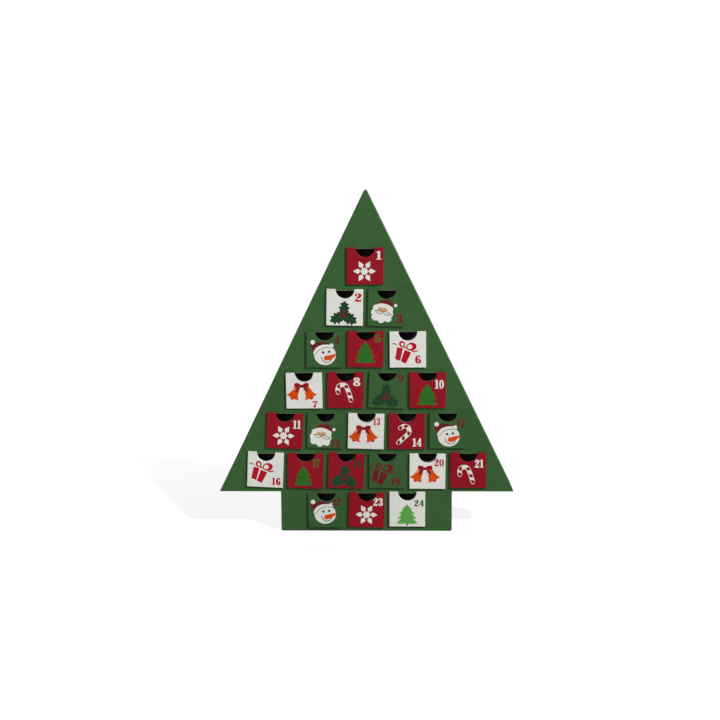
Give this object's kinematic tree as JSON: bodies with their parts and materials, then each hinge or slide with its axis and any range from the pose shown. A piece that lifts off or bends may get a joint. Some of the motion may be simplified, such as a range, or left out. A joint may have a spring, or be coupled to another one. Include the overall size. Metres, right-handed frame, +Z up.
{
  "type": "christmas tree advent calendar",
  "caption": "Tree-shaped standing card cabinet with rows of small slide-out drawers, each with a printed square front, a plain number and a half-round finger notch.",
  "frame": {"origin": "on the ground plane, below the middle of the width and of the whole depth, with the drawer fronts counted in the depth", "axes": "+Z up along the trunk to the tip of the tree; -Y is the side that the drawers open to; +X to the right as seen from the front"},
  "size_m": [0.3824, 0.0534, 0.4418],
  "materials": {
    "printed_green": "satin",
    "lining_green": "matte",
    "grey_card": "matte",
    "dark_card": "matte",
    "printed_front_green": "satin",
    "printed_red": "satin",
    "printed_white": "satin"
  },
  "bodies": {
    "cabinet": {"front_face": "printed_green", "back_board": "lining_green", "roof_wall": "printed_green", "branch_floor": "printed_green", "trunk_wall": "printed_green", "cell_row_1": "grey_card", "cell_row_2": "grey_card", "cell_row_3": "grey_card", "cell_row_4": "grey_card", "cell_row_5": "grey_card", "cell_row_6": "grey_card", "cell_row_7": "grey_card"},
    "drawer_01": {"tray_01": "dark_card", "front_01": "printed_red"},
    "drawer_02": {"tray_02": "dark_card", "front_02": "printed_white"},
    "drawer_03": {"tray_03": "dark_card", "front_03": "printed_front_green"},
    "drawer_04": {"tray_04": "dark_card", "front_04": "printed_front_green"},
    "drawer_05": {"tray_05": "dark_card", "front_05": "printed_red"},
    "drawer_06": {"tray_06": "dark_card", "front_06": "printed_white"},
    "drawer_07": {"tray_07": "dark_card", "front_07": "printed_white"},
    "drawer_08": {"tray_08": "dark_card", "front_08": "printed_red"},
    "drawer_09": {"tray_09": "dark_card", "front_09": "printed_front_green"},
    "drawer_10": {"tray_10": "dark_card", "front_10": "printed_red"},
    "drawer_11": {"tray_11": "dark_card", "front_11": "printed_red"},
    "drawer_12": {"tray_12": "dark_card", "front_12": "printed_front_green"},
    "drawer_13": {"tray_13": "dark_card", "front_13": "printed_white"},
    "drawer_14": {"tray_14": "dark_card", "front_14": "printed_red"},
    "drawer_15": {"tray_15": "dark_card", "front_15": "printed_front_green"},
    "drawer_16": {"tray_16": "dark_card", "front_16": "printed_white"},
    "drawer_17": {"tray_17": "dark_card", "front_17": "printed_red"},
    "drawer_18": {"tray_18": "dark_card", "front_18": "printed_red"},
    "drawer_19": {"tray_19": "dark_card", "front_19": "printed_front_green"},
    "drawer_20": {"tray_20": "dark_card", "front_20": "printed_white"},
    "drawer_21": {"tray_21": "dark_card", "front_21": "printed_red"},
    "drawer_22": {"tray_22": "dark_card", "front_22": "printed_front_green"},
    "drawer_23": {"tray_23": "dark_card", "front_23": "printed_red"},
    "drawer_24": {"tray_24": "dark_card", "front_24": "printed_white"}
  },
  "joints": [
    {"name": "drawer_01_slide", "type": "slide", "parent": "cabinet", "child": "drawer_01", "axis": [0, -1, 0], "range_m": [0, 0.04]},
    {"name": "drawer_02_slide", "type": "slide", "parent": "cabinet", "child": "drawer_02", "axis": [0, -1, 0], "range_m": [0, 0.04]},
    {"name": "drawer_03_slide", "type": "slide", "parent": "cabinet", "child": "drawer_03", "axis": [0, -1, 0], "range_m": [0, 0.04]},
    {"name": "drawer_04_slide", "type": "slide", "parent": "cabinet", "child": "drawer_04", "axis": [0, -1, 0], "range_m": [0, 0.04]},
    {"name": "drawer_05_slide", "type": "slide", "parent": "cabinet", "child": "drawer_05", "axis": [0, -1, 0], "range_m": [0, 0.04]},
    {"name": "drawer_06_slide", "type": "slide", "parent": "cabinet", "child": "drawer_06", "axis": [0, -1, 0], "range_m": [0, 0.04]},
    {"name": "drawer_07_slide", "type": "slide", "parent": "cabinet", "child": "drawer_07", "axis": [0, -1, 0], "range_m": [0, 0.04]},
    {"name": "drawer_08_slide", "type": "slide", "parent": "cabinet", "child": "drawer_08", "axis": [0, -1, 0], "range_m": [0, 0.04]},
    {"name": "drawer_09_slide", "type": "slide", "parent": "cabinet", "child": "drawer_09", "axis": [0, -1, 0], "range_m": [0, 0.04]},
    {"name": "drawer_10_slide", "type": "slide", "parent": "cabinet", "child": "drawer_10", "axis": [0, -1, 0], "range_m": [0, 0.04]},
    {"name": "drawer_11_slide", "type": "slide", "parent": "cabinet", "child": "drawer_11", "axis": [0, -1, 0], "range_m": [0, 0.04]},
    {"name": "drawer_12_slide", "type": "slide", "parent": "cabinet", "child": "drawer_12", "axis": [0, -1, 0], "range_m": [0, 0.04]},
    {"name": "drawer_13_slide", "type": "slide", "parent": "cabinet", "child": "drawer_13", "axis": [0, -1, 0], "range_m": [0, 0.04]},
    {"name": "drawer_14_slide", "type": "slide", "parent": "cabinet", "child": "drawer_14", "axis": [0, -1, 0], "range_m": [0, 0.04]},
    {"name": "drawer_15_slide", "type": "slide", "parent": "cabinet", "child": "drawer_15", "axis": [0, -1, 0], "range_m": [0, 0.04]},
    {"name": "drawer_16_slide", "type": "slide", "parent": "cabinet", "child": "drawer_16", "axis": [0, -1, 0], "range_m": [0, 0.04]},
    {"name": "drawer_17_slide", "type": "slide", "parent": "cabinet", "child": "drawer_17", "axis": [0, -1, 0], "range_m": [0, 0.04]},
    {"name": "drawer_18_slide", "type": "slide", "parent": "cabinet", "child": "drawer_18", "axis": [0, -1, 0], "range_m": [0, 0.04]},
    {"name": "drawer_19_slide", "type": "slide", "parent": "cabinet", "child": "drawer_19", "axis": [0, -1, 0], "range_m": [0, 0.04]},
    {"name": "drawer_20_slide", "type": "slide", "parent": "cabinet", "child": "drawer_20", "axis": [0, -1, 0], "range_m": [0, 0.04]},
    {"name": "drawer_21_slide", "type": "slide", "parent": "cabinet", "child": "drawer_21", "axis": [0, -1, 0], "range_m": [0, 0.04]},
    {"name": "drawer_22_slide", "type": "slide", "parent": "cabinet", "child": "drawer_22", "axis": [0, -1, 0], "range_m": [0, 0.04]},
    {"name": "drawer_23_slide", "type": "slide", "parent": "cabinet", "child": "drawer_23", "axis": [0, -1, 0], "range_m": [0, 0.04]},
    {"name": "drawer_24_slide", "type": "slide", "parent": "cabinet", "child": "drawer_24", "axis": [0, -1, 0], "range_m": [0, 0.04]}
  ]
}
